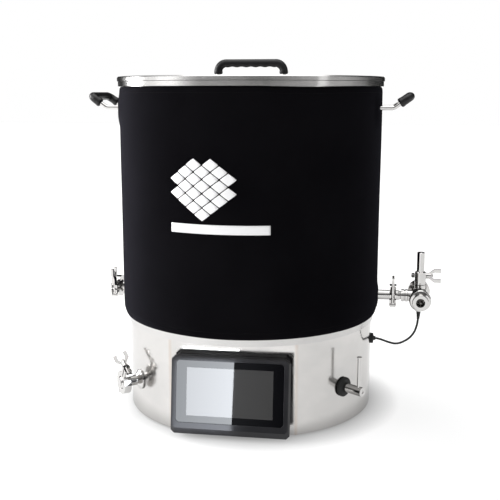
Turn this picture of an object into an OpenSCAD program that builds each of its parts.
// Electric all-in-one brewing kettle: a jacketed steel tank on a steel base that holds the pump,
// the heater and the controls, with sanitary clamp ports, a lift-out malt pipe and a loose lid.
// +Z is up, the floor is z = 0, the tank's axis is the Z axis and the display faces -Y.

/* [Tank] */
// Outer radius of the tank wall
tank_r = 241; // [239:0.5:243]
// Thickness of the tank sheet
tank_wall = 1.5; // [1:0.1:1.5]
// Height of the top of the tank rim
rim_z = 622.5; // [622:0.5:624]
// Outer radius of the turned-down rim
rim_r = 251; // [250.5:0.1:252]

/* [Base] */
// Outer radius of the base skirt
skirt_r = 238; // [236:0.5:239]
// Height of the skirt's lower edge above the floor
skirt_bottom = 3; // [3:0.5:4]
// Height of the skirt's upper edge
skirt_top = 170.5; // [168:0.5:172]
// Thickness of the skirt sheet
skirt_wall = 1.5; // [1:0.1:2]
// Distance of the flat front panel from the axis
panel_y = 209; // [207:0.5:211]

/* [Jacket] */
// Outer radius of the insulating jacket
jacket_r = 250; // [248:0.5:250]
// Height of the jacket's lower hem
jacket_bottom = 183; // [180:1:186]
// Height of the jacket's upper hem
jacket_top = 613.3; // [611:0.1:613.3]

/* [Lid] */
// Outer radius of the lid
lid_r = 252.6; // [252:0.1:254]
// Height of the top of the lid's edge
lid_edge_top = 631.5; // [631:0.5:632.5]
// Height of the lid's domed centre
lid_centre_z = 635; // [634:0.5:636]
// Distance between the centres of the lid handle's legs
lid_handle_span = 126; // [120:1:132]

/* [Malt pipe] */
// Outer radius of the malt pipe
malt_r = 215; // [210:1:218]
// Height of the malt pipe's upper edge
malt_top = 585; // [575:1:588]
// Height of the malt pipe's lower edge
malt_bottom = 198; // [196:1:200]
// Radius of the lifting bail, to the centre of its bar
bail_r = 200; // [195:1:202]

/* [Handles] */
// Height of the side handles' legs
handle_z = 575; // [570:1:580]
// Distance between the legs of a side handle
handle_span = 104; // [100:1:110]
// Diameter of the handle rods
rod_d = 8; // [7:0.5:9]
// Diameter of the handle grips
grip_d = 15.5; // [14:0.5:17]

/* [Clamp ports] */
// Outer diameter of a port pipe
pipe_d = 19; // [18:0.5:19]
// Inner diameter of a port pipe
pipe_bore = 16; // [15:0.5:16.5]
// Outer diameter of a clamp flange
flange_d = 34; // [33.5:0.5:34]
// Outer diameter of a clamp ring
clamp_d = 43; // [43:0.5:45]
// Width of a clamp ring along its port
clamp_w = 13; // [12.5:0.5:13.5]
// Distance of a clamp bolt from its port's axis
bolt_offset = 31; // [30.5:0.5:32]
// Diameter of a clamp bolt
bolt_d = 6; // [5.5:0.5:6]
// Height of the two upper ports on the tank
upper_port_z = 216; // [213:1:219]
// Distance of the right clamp from the axis
right_clamp_x = 279; // [277:0.5:281]
// Distance of the left clamp from the axis
left_clamp_x = 272; // [270:0.5:274]
// Distance of the pump port's clamp from the axis
pump_clamp_x = 271; // [269:0.5:273]
// Azimuth of the pump port, from the front towards +X
pump_port_az = -52; // [-54:1:-50]
// Height of the pump port
pump_port_z = 70; // [70:0.5:70]

/* [Outlet valve] */
// Distance of the outlet valve's stem from the tank's axis
valve_x = 330; // [328:0.5:332]
// Diameter of the valve ball
ball_d = 26; // [25:0.5:26]
// Bore of the outlet
outlet_bore = 16.5; // [16.5:0.1:16.5]
// Distance of the outlet's mouth in front of the stem
outlet_reach = 60; // [58:1:62]
// Distance of the rear clamp behind the stem
rear_clamp_y = 45; // [44:0.5:46]
// Height of the top of the valve's handle
valve_handle_top = 302; // [295:1:306]

/* [Drain valve] */
// Azimuth of the drain valve's shaft, from the front towards +X
drain_az = 54; // [52:1:56]
// Height of the drain valve's shaft
drain_z = 74; // [72:1:76]
// Diameter of the shaft
shaft_d = 17; // [16:0.5:17]
// Distance of the shaft's outer end from the axis
shaft_end = 283; // [281:1:285]
// Height of the lever's top
drain_lever_top = 138; // [134:1:142]

/* [Display] */
// Width of the display frame
display_w = 213; // [211:1:215]
// Height of the display housing along its face
display_h = 140; // [138:1:141]
// How far the housing's middle lies below the glass centre
display_drop = 7.5; // [7:0.5:8]
// Width of the glass
glass_w = 191; // [189:1:192]
// Height of the glass
glass_h = 110; // [109:1:111]
// Height of the glass centre
display_z = 85.5; // [85:0.5:86]
// Distance of the glass centre from the axis
display_y = 241.5; // [241:0.5:243]
// Angle by which the face leans back
display_tilt = 7.7; // [7:0.1:8]

/* [Sensor cable] */
// Diameter of the sensor cable
cable_d = 4; // [3.5:0.1:4]
// Height of the cable gland on the skirt
gland_z = 128; // [128:1:128]

/* [Hidden] */
$fn = 64;
fit_gap = 0.05;
loose_gap = 0.3;
ball_margin = 0.06;
eps = 0.01;

steel = "silver";
bright_steel = "gainsboro";
black = "#202124";
soft_black = "#17181a";
rubber = "#101010";

floor_low = 178;
floor_high = 188;
drain_mouth_r = 17;
spigot_bottom = 150;
plate_top = 6.5;
panel_half = sqrt(skirt_r * skirt_r - panel_y * panel_y);
foot_r = 18;
foot_ring_r = 190;
screw_ring_r = 225;
screw_azimuths = [40, 80, 130, 170, 190, 230, 280, 320];

jacket_inner_r = tank_r + loose_gap;
plate_az = asin(handle_span / 2 / (tank_r + 1));
handle_bend_x = 270;
handle_top_x = 299.5;
handle_slope = 35;
grip_start = 13.5;

lid_sheet = 1.2;
lid_grip_z = 657.5;
lid_ring_r = 236.4;
lid_ring_bottom = 612;

malt_wall = 1.2;
bail_z = 592;
bail_pin_r = 3;
screen_z = malt_bottom + 4;

pipe_r = pipe_d / 2;
bore_r = pipe_bore / 2;
flange_r = flange_d / 2;
gasket_half = 0.5;
nut_start = 8.4;
wing_end = 42;

ball_r = ball_d / 2;
stem_r = 5;
body_r = 17;
valve = [valve_x, 0, upper_port_z];
union_start = 295;
union_end = 313;

inlet_bend = 12;
seam = 0.05;
pump_axis_z = drain_z - 22 - inlet_bend;
pump_x = -86;

cable_route = [
    [329, 0, 186], [329, 0, 176], [328, 0, 164], [326, 0, 154], [322, 0, 143], [314, 0, 132],
    [305, 0, 125], [297, 0, 121], [290, 0, 119], [282, 0, 119], [270, 0, 122], [258, 0, 126], [248, 0, 128]
];

// ---- Placing helpers ----

// Turns +X to point outwards at an azimuth, measured from the front (-Y) towards +X.
module at_azimuth(az) {
    rotate([0, 0, az - 90]) children();
}

// A straight round bar from a to b.
module bar(a, b, r) {
    d = b - a;
    translate(a)
        rotate([0, acos(d.z / norm(d)), atan2(d.y, d.x)])
            cylinder(h = norm(d), r = r);
}

// A round bar through a list of points, with ball corners a touch wider than the bar.
module bent_bar(points, r) {
    for (i = [0 : len(points) - 2])
        bar(points[i], points[i + 1], r);
    for (i = [1 : len(points) - 2])
        translate(points[i]) sphere(r = r + ball_margin);
}

// Part of a ring of round bar, from +X towards +Y about the origin.
module ring_arc(ring_r, r, angle) {
    rotate_extrude(angle = angle) translate([ring_r, 0]) circle(r = r);
}

// A solid of revolution about +X from points given as [radius, x].
module turned(points) {
    rotate([90, 0, 90]) rotate_extrude() polygon(points);
}

// A round hole or rod along +X.
module along_x(x0, x1, r) {
    translate([x0, 0, 0]) rotate([0, 90, 0]) cylinder(h = x1 - x0, r = r);
}

// Outline of the base: a circle with a flat front.
module base_outline(r, front) {
    intersection() {
        circle(r = r);
        translate([-r, -front]) square([2 * r, front + r]);
    }
}

// ---- Tank ----

module kettle_tank() {
    inner = tank_r - tank_wall;
    color(steel) difference() {
        union() {
            rotate_extrude($fn = 180) {
                polygon([
                    [205, skirt_top], [tank_r, skirt_top],
                    [tank_r, rim_z - tank_wall], [rim_r - tank_wall, rim_z - tank_wall],
                    [rim_r - tank_wall, jacket_top + 0.7], [rim_r, jacket_top + 0.7],
                    [rim_r, rim_z], [inner, rim_z],
                    [inner, skirt_top + tank_wall], [205, skirt_top + tank_wall]
                ]);
                polygon([
                    [pipe_r - 1, floor_low - 2], [inner + 0.5, floor_high - 2],
                    [inner + 0.5, floor_high], [pipe_r - 1, floor_low]
                ]);
            }
            translate([0, 0, spigot_bottom]) cylinder(h = floor_low - 1 - spigot_bottom, r = pipe_r);
        }
        translate([0, 0, spigot_bottom - 1]) cylinder(h = 40, r = bore_r);
        for (side = [0, 180])
            rotate([0, 0, side]) translate([0, 0, upper_port_z]) along_x(tank_r - 10, tank_r + 5, pipe_r);
    }
}

// ---- Base ----

module base_skirt() {
    color(bright_steel) difference() {
        union() {
            translate([0, 0, skirt_bottom]) linear_extrude(skirt_top - skirt_bottom) difference() {
                base_outline(skirt_r, panel_y);
                base_outline(skirt_r - skirt_wall, panel_y - skirt_wall);
            }
            for (z = [plate_top, skirt_top - skirt_wall])
                translate([0, 0, z]) linear_extrude(skirt_wall) difference() {
                    base_outline(skirt_r - eps, panel_y - eps);
                    base_outline(skirt_r - 22, panel_y - 14);
                }
        }
        at_azimuth(drain_az) translate([0, 0, drain_z]) along_x(skirt_r - 10, skirt_r + 5, 14);
        at_azimuth(pump_port_az) translate([0, 0, pump_port_z]) along_x(skirt_r - 10, skirt_r + 5, pipe_r);
        at_azimuth(90) translate([0, 0, gland_z]) along_x(skirt_r - 10, skirt_r + 5, 6);
        at_azimuth(180) translate([0, 0, 60]) along_x(skirt_r - 10, skirt_r + 5, 8);
        screw_shanks(2.5);
        translate([0, -panel_y - 5, display_z]) rotate([-90, 0, 0]) cylinder(h = 10, r = 20);
    }
}

// The base screws' shanks, used for the screws and for their holes.
module screw_shanks(r) {
    for (az = screw_azimuths)
        at_azimuth(az) translate([screw_ring_r, 0, 3.4]) cylinder(h = 8, r = r);
}

module base_plate() {
    color(steel) difference() {
        translate([0, 0, plate_top - skirt_wall]) linear_extrude(skirt_wall)
            base_outline(skirt_r - skirt_wall - 0.8, panel_y - skirt_wall - 0.8);
        screw_shanks(2.5);
        for (x = [-60 : 20 : 60])
            translate([x - 3, 110, 0]) cube([6, 60, 10]);
    }
}

module rubber_feet() {
    color(rubber) for (az = [45, 135, 225, 315])
        at_azimuth(az) translate([foot_ring_r, 0, 0]) cylinder(h = plate_top - skirt_wall, r = foot_r);
}

module base_screws() {
    color(bright_steel) {
        screw_shanks(2.45);
        for (az = screw_azimuths)
            at_azimuth(az) translate([screw_ring_r, 0, 3.4]) cylinder(h = 1.6, r = 4.5);
    }
}

// ---- Jacket ----

module jacket() {
    color(soft_black) difference() {
        rotate_extrude($fn = 180) polygon([
            [jacket_inner_r, jacket_bottom], [jacket_r - 3, jacket_bottom], [jacket_r, jacket_bottom + 3],
            [jacket_r, jacket_top - 2], [jacket_r - 2, jacket_top], [jacket_inner_r, jacket_top]
        ]);
        for (side = [0, 180]) rotate([0, 0, side]) {
            translate([0, 0, upper_port_z]) along_x(tank_r - 20, jacket_r + 5, pipe_r + 2.5);
            for (y = [-1, 1] * handle_span / 2)
                translate([0, y, handle_z]) along_x(tank_r - 20, jacket_r + 5, rod_d / 2 + 2);
        }
        plate_blocks(1);
    }
}

// ---- Side handles ----

// The four plates under the handles, grown by a margin when they cut their pockets.
module plate_blocks(margin) {
    for (az = [90 - plate_az, 90 + plate_az, 270 - plate_az, 270 + plate_az])
        at_azimuth(az) translate([tank_r + 0.2 - margin, -15 - margin, handle_z - 20 - margin])
            cube([2.5 + 2 * margin, 30 + 2 * margin, 40 + 2 * margin]);
}

module handle_plates() {
    color(steel) difference() {
        plate_blocks(0);
        for (side = [0, 180]) rotate([0, 0, side]) for (y = [-1, 1] * handle_span / 2)
            translate([0, y, handle_z]) along_x(tank_r - 20, jacket_r, rod_d / 2);
    }
}

// The sloping loop of a side handle: two legs from start, two corners and the crossbar.
module handle_loop(r, start) {
    half = handle_span / 2;
    corner = 12;
    reach = (handle_top_x - handle_bend_x) / cos(handle_slope);
    translate([handle_bend_x, 0, handle_z]) rotate([0, -handle_slope, 0]) {
        for (side = [0, 1]) mirror([0, side, 0]) {
            translate([0, half, 0]) along_x(start, reach - corner, r);
            translate([reach - corner, half - corner, 0]) ring_arc(corner, r, 90);
        }
        translate([reach, half - corner, 0]) rotate([90, 0, 0]) cylinder(h = 2 * (half - corner), r = r);
    }
}

module handle_rod() {
    bend = 12;
    tangent = bend * tan(handle_slope / 2);
    r = rod_d / 2;
    color(bright_steel) {
        handle_loop(r, tangent);
        for (y = [-1, 1] * handle_span / 2) translate([0, y, handle_z]) {
            along_x(237, handle_bend_x - tangent, r);
            translate([handle_bend_x - tangent, 0, bend]) rotate([90, 0, 0]) rotate([0, 0, -90])
                ring_arc(bend, r, handle_slope);
        }
    }
}

module handle_grip() {
    color(black) difference() {
        handle_loop(grip_d / 2, grip_start);
        handle_loop(rod_d / 2 + 0.01, grip_start - 5);
    }
}

module right_handle_rod() { handle_rod(); }
module right_handle_grip() { handle_grip(); }
module left_handle_rod() { rotate([0, 0, 180]) handle_rod(); }
module left_handle_grip() { rotate([0, 0, 180]) handle_grip(); }

// ---- Lid ----

module lid_pan() {
    color(steel) rotate_extrude($fn = 180) {
        polygon([
            [0, lid_centre_z], [lid_r - 2, lid_edge_top], [lid_r, lid_edge_top - 2], [lid_r, rim_z + 0.7],
            [lid_r - lid_sheet, rim_z + 0.7], [lid_r - lid_sheet, lid_edge_top - 2],
            [lid_r - 2.5, lid_edge_top - lid_sheet], [0, lid_centre_z - lid_sheet]
        ]);
        translate([lid_ring_r - lid_sheet, lid_ring_bottom])
            square([lid_sheet, lid_edge_top - lid_ring_bottom - 0.3]);
    }
}

module lid_gasket() {
    color(rubber) rotate_extrude($fn = 180) polygon([
        [241, rim_z + loose_gap], [249.5, rim_z + loose_gap],
        [249.5, lid_edge_top - lid_sheet - 0.1], [241, lid_edge_top - lid_sheet - 0.1]
    ]);
}

// Centre line of the lid handle's rod, starting at the given height.
function lid_handle_line(start) = let (
    half = lid_handle_span / 2,
    side = [[-half, 0, start], [-half, 0, lid_grip_z - 10], [-half + 10, 0, lid_grip_z]]
) concat(side, [for (i = [len(side) - 1 : -1 : 0]) [-side[i].x, 0, side[i].z]]);

module lid_handle_rod() {
    color(bright_steel) bent_bar(lid_handle_line(lid_centre_z - 0.8), rod_d / 2);
}

module lid_handle_grip() {
    color(black) difference() {
        bent_bar(lid_handle_line(lid_centre_z + 2), grip_d / 2 - 0.25);
        bent_bar(lid_handle_line(lid_centre_z - 0.8), rod_d / 2);
        for (x = [-36 : 18 : 36])
            translate([x, 0, lid_grip_z - grip_d / 2 - 9.6]) rotate([90, 0, 0])
                cylinder(h = grip_d, r = 11, center = true);
    }
}

// ---- Malt pipe ----

module malt_pipe_wall() {
    color(bright_steel) difference() {
        union() {
            rotate_extrude($fn = 180) {
                polygon([
                    [malt_r - 10, malt_bottom], [malt_r, malt_bottom], [malt_r, malt_top],
                    [malt_r - malt_wall, malt_top], [malt_r - malt_wall, malt_bottom + 2],
                    [malt_r - 10, malt_bottom + 2]
                ]);
            }
            for (side = [0, 180]) rotate([0, 0, side])
                translate([bail_r + 5, -8, malt_top - 12])
                    cube([malt_r - malt_wall / 2 - 0.2 - bail_r - 5, 16, bail_z + 7 - malt_top + 12]);
            for (az = [0, 120, 240])
                at_azimuth(az) translate([malt_r - 7, 0, 187.5]) cylinder(h = malt_bottom + 1 - 187.5, r = 6);
        }
        for (side = [0, 180]) rotate([0, 0, side])
            translate([0, 0, bail_z]) along_x(bail_r, malt_r + 5, bail_pin_r + fit_gap);
    }
}

module malt_pipe_screen() {
    rings = [[30, 8], [70, 16], [110, 24], [150, 32], [190, 40]];
    color(steel) difference() {
        translate([0, 0, screen_z]) cylinder(h = 1.5, r = malt_r - malt_wall - 0.5);
        for (ring = rings, i = [0 : ring[1] - 1])
            rotate([0, 0, i * 360 / ring[1]]) translate([ring[0], 0, screen_z - 1]) cylinder(h = 4, r = 4);
    }
}

module screen_seal() {
    color("white") rotate_extrude() translate([malt_r - 9, malt_bottom + 2])
        square([7.3, screen_z - malt_bottom - 2]);
}

module lifting_bail() {
    color(bright_steel) {
        translate([0, 0, bail_z]) rotate_extrude(angle = 180) translate([bail_r, 0]) circle(r = 4);
        for (side = [0, 180]) rotate([0, 0, side])
            translate([0, 0, bail_z]) along_x(bail_r - 2, malt_r - malt_wall - 0.6, bail_pin_r);
    }
}

// ---- Clamp ports ----
// A port lies along +X and its clamp is centred on the origin of clamp_place.

// The flange half of a port whose face looks towards +X at x = -gasket_half.
module port_flange(bore, pipe, back) {
    turned([
        [bore, back], [pipe, back], [pipe, -6.5], [flange_r - 6, -5.5],
        [flange_r, -3.5], [flange_r, -gasket_half], [bore, -gasket_half]
    ]);
}

// A blank cap that closes a port, with a small knob.
module port_cap(knob_r, knob_end) {
    turned([
        [0, gasket_half], [flange_r, gasket_half], [flange_r, 3.5], [flange_r - 6, 5.5],
        [9, 8], [knob_r, 8.5], [knob_r, knob_end], [0, knob_end]
    ]);
}

// Turns a clamp about its port: ears up at spin 0, with the bolt along -Y, or +Y when flipped.
module clamp_turn(spin, flip) {
    rotate([spin, 0, 0]) mirror([0, flip ? 1 : 0, 0]) children();
}

module clamp_ring() {
    r = clamp_d / 2;
    w = clamp_w / 2;
    difference() {
        union() {
            turned([
                [r, -w], [r, w], [12.2, w], [12.2, 5.7], [flange_r + 0.4, 3.9],
                [flange_r + 0.4, -3.9], [12.2, -5.7], [12.2, -w]
            ]);
            difference() {
                translate([-w, -8, 0]) cube([clamp_w, 16, bolt_offset + 5]);
                along_x(-w - 1, w + 1, r - 1);
            }
            translate([0, 0, -r - 1]) along_x(-w, w, 3.5);
        }
        translate([-w - 1, -1.5, 0]) cube([clamp_w + 2, 3, bolt_offset + 10]);
        translate([-w - 1, -0.2, -r - 10]) cube([clamp_w + 2, 0.4, r + 10]);
        translate([-bolt_d / 2 - 0.4, -10, bolt_offset - bolt_d / 2 - 1]) cube([bolt_d + 0.8, 20, 20]);
    }
}

module clamp_bolt() {
    translate([0, 0, bolt_offset]) {
        rotate([90, 0, 0]) translate([0, 0, -12]) cylinder(h = 12 + 27, r = bolt_d / 2);
        translate([0, 12, 0]) along_x(-5.5, 5.5, 3.8);
    }
}

// A wing nut on the clamp bolt; turn sets where its wings stand.
module wing_nut(turn) {
    wing = [[12, 2.5], [21, 2.5], [30, 7], [wing_end, 6.5], [wing_end, 13.5], [29, 13.5], [19, 5.4], [12, 5.4]];
    color(bright_steel) translate([0, 0, bolt_offset]) rotate([90, 0, 0]) rotate([0, 0, turn]) difference() {
        union() {
            translate([0, 0, nut_start]) cylinder(h = 2, r = 6.5);
            translate([0, 0, nut_start]) cylinder(h = 13.6, r = 5.2);
            for (side = [0, 180]) rotate([0, 0, side])
                rotate([90, 0, 0]) linear_extrude(4.2, center = true) polygon([for (p = wing) [p.y, p.x]]);
        }
        cylinder(h = 60, r = bolt_d / 2 + fit_gap);
    }
}

// Places each clamp: the port's axis is +X, and the clamp's middle is the origin.
module right_clamp_place() { translate([right_clamp_x, 0, upper_port_z]) children(); }
module left_clamp_place() { rotate([0, 0, 180]) translate([left_clamp_x, 0, upper_port_z]) children(); }
module pump_clamp_place() { at_azimuth(pump_port_az) translate([pump_clamp_x, 0, pump_port_z]) children(); }
module rear_clamp_place() { translate(valve) rotate([0, 0, 90]) translate([rear_clamp_y, 0, 0]) children(); }

// Each clamp with its own turn about the port.
module right_clamp_turn() { right_clamp_place() clamp_turn(90, true) children(); }
module left_clamp_turn() { left_clamp_place() clamp_turn(-90, false) children(); }
module pump_clamp_turn() { pump_clamp_place() clamp_turn(-30, false) children(); }
module rear_clamp_turn() { rear_clamp_place() clamp_turn(0, false) children(); }

module right_port() {
    color(bright_steel) right_clamp_place() port_flange(bore_r, pipe_r, tank_r - 3 - right_clamp_x);
}

module left_port() {
    color(bright_steel) left_clamp_place() port_flange(bore_r, pipe_r, tank_r - 3 - left_clamp_x);
}

module pump_port() {
    wall = skirt_r + 0.3 - pump_clamp_x;
    color(bright_steel) pump_clamp_place() {
        port_flange(bore_r, pipe_r, 225 - pump_clamp_x);
        turned([[pipe_r - 0.5, wall], [18.5, wall], [18.5, wall + 2.5], [pipe_r, wall + 9], [pipe_r - 0.5, wall + 9]]);
    }
}

module valve_inlet() {
    start = union_start - right_clamp_x;
    stop = union_end - right_clamp_x;
    color(bright_steel) right_clamp_place() turned([
        [6, gasket_half], [flange_r, gasket_half], [flange_r, 3.5], [flange_r - 6, 5.5], [pipe_r, 6.5],
        [pipe_r, 9], [8, start - 1], [8, start], [12, start], [12, start + 5], [11, start + 6],
        [11, start + 7], [12, start + 8], [12, stop - 6], [11, stop - 5], [11, stop], [6, stop]
    ]);
}

module left_cap() { color(bright_steel) left_clamp_place() port_cap(3.8, 17); }
module pump_port_cap() { color(bright_steel) pump_clamp_place() port_cap(7, 9.5); }
module valve_cap() { color(bright_steel) rear_clamp_place() port_cap(7, 9.5); }

module right_clamp() { color(bright_steel) right_clamp_turn() clamp_ring(); }
module left_clamp() { color(bright_steel) left_clamp_turn() clamp_ring(); }
module pump_port_clamp() { color(bright_steel) pump_clamp_turn() clamp_ring(); }
module valve_clamp() { color(bright_steel) rear_clamp_turn() clamp_ring(); }

module right_wing_nut() { right_clamp_turn() wing_nut(90); }
module left_wing_nut() { left_clamp_turn() wing_nut(90); }
module pump_port_wing_nut() { pump_clamp_turn() wing_nut(150); }
module valve_wing_nut() { rear_clamp_turn() wing_nut(90); }

module clamp_bolts() {
    color(bright_steel) {
        right_clamp_turn() clamp_bolt();
        left_clamp_turn() clamp_bolt();
        pump_clamp_turn() clamp_bolt();
        rear_clamp_turn() clamp_bolt();
    }
}

module port_gasket() {
    turned([[bore_r, -gasket_half], [flange_r - 0.5, -gasket_half], [flange_r - 0.5, gasket_half], [bore_r, gasket_half]]);
}

module port_gaskets() {
    color("white") {
        right_clamp_place() port_gasket();
        left_clamp_place() port_gasket();
        pump_clamp_place() port_gasket();
        rear_clamp_place() port_gasket();
    }
}

// ---- Outlet valve ----

module valve_body() {
    neck = valve_x - union_end;
    color(bright_steel) difference() {
        union() {
            translate(valve) sphere(r = neck);
            translate(valve) along_x(-neck, 0, 11);
            translate(valve) rotate([0, 0, -90]) along_x(0, 32, body_r);
            translate(valve) rotate([0, 0, 90]) along_x(0, 30, body_r - 3);
            rear_clamp_place() port_flange(bore_r - 1, pipe_r + 1, -16);
            translate(valve) cylinder(h = 22.5, r = 10.3);
            translate(valve - [0, 0, 24]) cylinder(h = 24, r = 8.5);
        }
        translate(valve) sphere(r = ball_r + fit_gap);
        translate(valve) along_x(-neck - 8, 0, bore_r - 1.5);
        translate(valve) rotate([0, 0, -90]) along_x(0, 40, bore_r);
        translate(valve) rotate([0, 0, 90]) along_x(0, 50, bore_r);
        translate(valve) cylinder(h = 30, r = stem_r + fit_gap);
        translate(valve - [0, 0, 30]) cylinder(h = 20, r = 3);
    }
}

// The outlet's end piece, with the collar that holds the ball in and the open mouth.
module valve_end() {
    color(bright_steel) translate(valve) rotate([0, 0, -90]) turned([
        [outlet_bore / 2, 32], [18.5, 32], [20.5, 34], [20.5, 41], [18.5, 43], [12, 44],
        [12, outlet_reach - 7], [15.5, outlet_reach - 4], [15.5, outlet_reach - 1],
        [14.5, outlet_reach], [outlet_bore / 2, outlet_reach]
    ]);
}

module valve_ball() {
    color(bright_steel) translate(valve) {
        difference() {
            sphere(r = ball_r);
            rotate([0, 0, -90]) along_x(0, 20, bore_r);
            along_x(-20, 0, bore_r - 1.5);
            sphere(r = bore_r);
        }
        translate([0, 0, ball_r - 2]) cylinder(h = 25, r = stem_r);
    }
}

module valve_handle() {
    socket_top = 49;
    color(bright_steel) difference() {
        translate(valve) rotate_extrude() polygon([
            [0, 23], [9.8, 23], [10.5, 24], [10.5, socket_top - 2], [7.2, socket_top],
            [7.2, valve_handle_top - valve.z - 1], [6.2, valve_handle_top - valve.z],
            [0, valve_handle_top - valve.z]
        ]);
        translate(valve) cylinder(h = ball_r + 23, r = stem_r);
    }
}

// ---- Temperature sensor ----

module temp_sensor() {
    color(bright_steel) {
        translate([valve_x, 0, 190]) cylinder(h = 12, r = 3);
        translate([valve_x, 0, 186.5]) cylinder(h = 5.5, r = 7.5, $fn = 6);
    }
    color(rubber) translate([valve_x, 0, 186]) cylinder(h = 0.6, r = 5);
}

// Sweeps a round tube along points that lie in the XZ plane.
function heading(points, i) = let (
    a = points[max(i - 1, 0)],
    b = points[min(i + 1, len(points) - 1)]
) (b - a) / norm(b - a);

module swept_tube(points, r, sides) {
    n = len(points);
    rings = [for (i = [0 : n - 1], k = [0 : sides - 1]) let (
        d = heading(points, i),
        across = [d.z, 0, -d.x],
        a = k * 360 / sides
    ) points[i] + r * (cos(a) * across + sin(a) * [0, 1, 0])];
    sides_faces = [for (i = [0 : n - 2], k = [0 : sides - 1]) let (
        k2 = (k + 1) % sides
    ) [i * sides + k, i * sides + k2, (i + 1) * sides + k2, (i + 1) * sides + k]];
    start_face = [[for (k = [sides - 1 : -1 : 0]) k]];
    end_face = [[for (k = [0 : sides - 1]) (n - 1) * sides + k]];
    polyhedron(rings, concat(start_face, sides_faces, end_face));
}

module sensor_cable() {
    color(rubber) swept_tube(cable_route, cable_d / 2, 8);
}

module sensor_gland() {
    color(rubber) at_azimuth(90) translate([0, 0, gland_z]) turned([
        [0, skirt_r - 6], [6, skirt_r - 6], [6, skirt_r + 0.1], [10, skirt_r + 0.1],
        [10, skirt_r + 4.5], [9, skirt_r + 5.5], [4.5, skirt_r + 6], [3.6, 248], [0, 248]
    ]);
}

// ---- Drain valve ----

module drain_place() {
    at_azimuth(drain_az) translate([0, 0, drain_z]) children();
}

module drain_valve_body() {
    color("goldenrod") difference() {
        union() {
            translate([0, 0, drain_z - 22]) cylinder(h = 44, r = 20);
            drain_place() along_x(0, 30, 11);
        }
        translate([0, 0, drain_z]) sphere(r = ball_r + fit_gap);
        translate([0, 0, drain_z - 30]) cylinder(h = 60, r = bore_r);
        drain_place() along_x(0, 40, stem_r + fit_gap);
    }
}

module drain_ball() {
    color(bright_steel) difference() {
        union() {
            drain_place() sphere(r = ball_r);
            drain_place() along_x(ball_r - 2, 32, stem_r);
        }
        translate([0, 0, drain_z - 20]) cylinder(h = 40, r = bore_r);
    }
}

module drain_shaft() {
    color(bright_steel) drain_place() difference() {
        along_x(32, shaft_end, shaft_d / 2);
        translate([shaft_end - 8.5, 0, 0]) cylinder(h = 20, r = 3.5);
        along_x(shaft_end - 1, shaft_end + 1, 3);
    }
}

module drain_lever() {
    rise = drain_lever_top - drain_z;
    color(bright_steel) drain_place() translate([shaft_end - 8.5, 0, 0]) {
        cylinder(h = rise, r = 3.5);
        translate([0, 0, rise - 1.6]) cylinder(h = 1.6, r = 4.6);
    }
}

module shaft_grommet() {
    hole = shaft_d / 2 + fit_gap;
    color(rubber) drain_place() turned([
        [hole, skirt_r - 5], [16, skirt_r - 5], [16, skirt_r - 2.2], [13.5, skirt_r - 2.2],
        [13.5, skirt_r + 0.6], [18, skirt_r + 0.6], [18, skirt_r + 4], [15, skirt_r + 6.5],
        [hole, skirt_r + 6.5]
    ]);
}

// ---- Display ----

// The display's own frame: -Y out of the glass, +Z up the face, origin at the glass centre.
module display_place() {
    translate([0, -display_y, display_z]) rotate([-display_tilt, 0, 0]) children();
}

// A slab across the display with cut corners; middle is its height above the glass centre.
module face_slab(w, h, y0, y1, corner, middle = 0) {
    x = w / 2;
    z = h / 2;
    translate([0, y1, middle]) rotate([90, 0, 0]) linear_extrude(y1 - y0) polygon([
        [-x + corner, -z], [x - corner, -z], [x, -z + corner], [x, z - corner],
        [x - corner, z], [-x + corner, z], [-x, z - corner], [-x, -z + corner]
    ]);
}

module display_housing() {
    color(black) difference() {
        intersection() {
            display_place() face_slab(display_w - 10, display_h, 10.2, 80, 6, -display_drop);
            translate([-150, -panel_y - 0.3 - 80, 0]) cube([300, 80, 200]);
        }
        intersection() {
            display_place() face_slab(display_w - 15, display_h - 5, 10, 80, 5, -display_drop);
            translate([-150, -panel_y - 2.8 - 80, 0]) cube([300, 80, 200]);
        }
        translate([0, -panel_y - 5, display_z]) rotate([-90, 0, 0]) cylinder(h = 10, r = 15);
    }
}

// The frame slopes back along its lower edge, over the height of the chin.
module display_frame() {
    chin = 12;
    color(black) display_place() difference() {
        hull() {
            face_slab(display_w - 5, display_h - chin - 1, 0, 1, 5, (chin - 1) / 2 - display_drop);
            face_slab(display_w, display_h, 9, 10, 6, -display_drop);
        }
        face_slab(glass_w + 0.6, glass_h + 0.6, -1, 5, 4);
        face_slab(glass_w - 10, glass_h - 10, -1, 12, 4);
    }
}

module display_glass() {
    color("#0b0c0e") display_place() face_slab(glass_w, glass_h, 1, 4, 4);
}

module display_panel() {
    color("#3a3d40") display_place() face_slab(170, 99, 4.2, 9, 0.5);
}

module display_board() {
    color("darkgreen") display_place() face_slab(160, 94, 10.5, 12.1, 1);
}

// ---- Inside the base ----

module heating_elements() {
    color("dimgray") for (ring = [[95, 174], [165, 177]])
        rotate([0, 0, 90]) {
            translate([0, 0, ring[1]]) rotate_extrude(angle = 340) translate([ring[0], 0]) circle(r = 4);
            for (a = [0, 340])
                rotate([0, 0, a]) translate([ring[0], 0, ring[1] - 22]) cylinder(h = 22, r = 3.2);
        }
}

// A pipe's cross-section, for the straight and bent stretches.
module pipe_section() {
    difference() {
        circle(r = pipe_r);
        circle(r = bore_r);
    }
}

module pipe_arc(ring_r, angle) {
    rotate_extrude(angle = angle) translate([ring_r, 0]) pipe_section();
}

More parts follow.
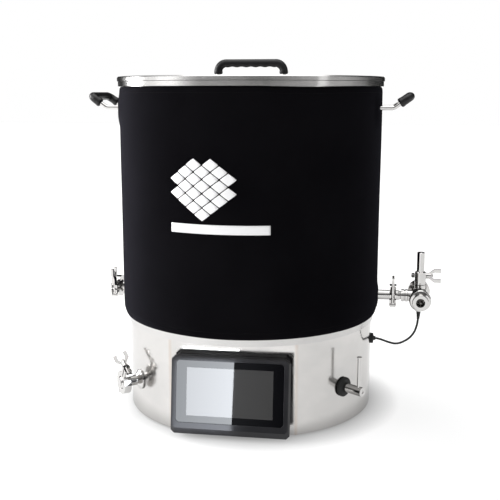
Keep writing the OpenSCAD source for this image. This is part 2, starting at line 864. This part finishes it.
module wort_pipes() {
    turn = 90 + pump_port_az;
    arc_r = 20;
    tangent = arc_r * tan((90 - turn) / 2);
    corner_reach = pump_x / sin(pump_port_az);
    corner_y = -corner_reach * cos(pump_port_az);
    color(steel) {
        translate([0, 0, drain_z + 22]) linear_extrude(spigot_bottom - drain_z - 22) pipe_section();
        translate([-inlet_bend, 0, drain_z - 22]) rotate([-90, 0, 0]) pipe_arc(inlet_bend, 90);
        translate([-inlet_bend - seam, 0, pump_axis_z]) rotate([0, -90, 0])
            linear_extrude(72 - inlet_bend - seam) pipe_section();
        translate([pump_x, -45, pump_port_z]) rotate([90, 0, 0])
            linear_extrude(-45 - corner_y - tangent - seam) pipe_section();
        translate([pump_x - arc_r, corner_y + tangent, pump_port_z]) rotate([0, 0, turn - 90])
            pipe_arc(arc_r, 90 - turn);
        at_azimuth(pump_port_az) translate([corner_reach + tangent + seam, 0, pump_port_z])
            rotate([0, 90, 0]) linear_extrude(225 - corner_reach - tangent - seam) pipe_section();
    }
}

module pump_head() {
    color("dimgray") difference() {
        union() {
            translate([0, 0, pump_axis_z]) along_x(-100, -72, 32);
            translate([pump_x, 0, pump_port_z]) rotate([90, 0, 0]) cylinder(h = 45, r = pipe_r);
        }
        translate([0, 0, pump_axis_z]) {
            along_x(-97, -76, 26);
            along_x(-77, -71, bore_r);
            along_x(-101, -96, 4 + fit_gap);
        }
        translate([pump_x, 0, pump_port_z]) rotate([90, 0, 0]) cylinder(h = 46, r = bore_r);
    }
}

module pump_impeller() {
    color("ivory") translate([0, 0, pump_axis_z]) {
        along_x(-95, -92, 24);
        along_x(-92, -80, 6);
        for (a = [0 : 60 : 300])
            rotate([a, 0, 0]) translate([-92, 4, -1]) cube([10, 19, 2]);
        along_x(-145, -95, 4);
    }
}

module pump_motor() {
    color("#2b2e33") translate([0, 0, pump_axis_z]) difference() {
        union() {
            along_x(-178, -100, 31);
            along_x(-190, -178, 24);
        }
        along_x(-146, -99, 4 + fit_gap);
        for (a = [0 : 30 : 330])
            rotate([a, 0, 0]) translate([-170, 29, -2]) cube([60, 5, 4]);
    }
}

module control_unit() {
    color("#30343a") translate([40, 45, plate_top + skirt_wall + 0.5]) {
        cube([125, 95, 42]);
        for (x = [8 : 12 : 116])
            translate([x - 1.5, 3, 41]) cube([3, 89, 13]);
    }
    color("#30343a") for (x = [50, 155], y = [55, 130])
        translate([x, y, plate_top]) cylinder(h = skirt_wall + 0.6, r = 4);
}

module mains_gland() {
    color(rubber) at_azimuth(180) translate([0, 0, 60]) turned([
        [5, 228], [11, 228], [11, skirt_r - 1.8], [7.9, skirt_r - 1.8], [7.9, skirt_r + 0.1], [12, skirt_r + 0.1],
        [12, skirt_r + 8], [10.5, skirt_r + 9], [10.5, skirt_r + 19], [8, skirt_r + 23], [5, skirt_r + 23]
    ]);
}

kettle_tank();
base_skirt();
base_plate();
rubber_feet();
base_screws();
jacket();
handle_plates();
left_handle_rod();
left_handle_grip();
right_handle_rod();
right_handle_grip();
lid_pan();
lid_gasket();
lid_handle_rod();
lid_handle_grip();
malt_pipe_wall();
malt_pipe_screen();
screen_seal();
lifting_bail();
right_port();
valve_inlet();
right_clamp();
right_wing_nut();
valve_body();
valve_end();
valve_ball();
valve_handle();
valve_cap();
valve_clamp();
valve_wing_nut();
temp_sensor();
sensor_cable();
sensor_gland();
left_port();
left_cap();
left_clamp();
left_wing_nut();
pump_port();
pump_port_cap();
pump_port_clamp();
pump_port_wing_nut();
clamp_bolts();
port_gaskets();
drain_valve_body();
drain_ball();
drain_shaft();
drain_lever();
shaft_grommet();
display_housing();
display_frame();
display_glass();
display_panel();
display_board();
heating_elements();
wort_pipes();
pump_head();
pump_impeller();
pump_motor();
control_unit();
mains_gland();
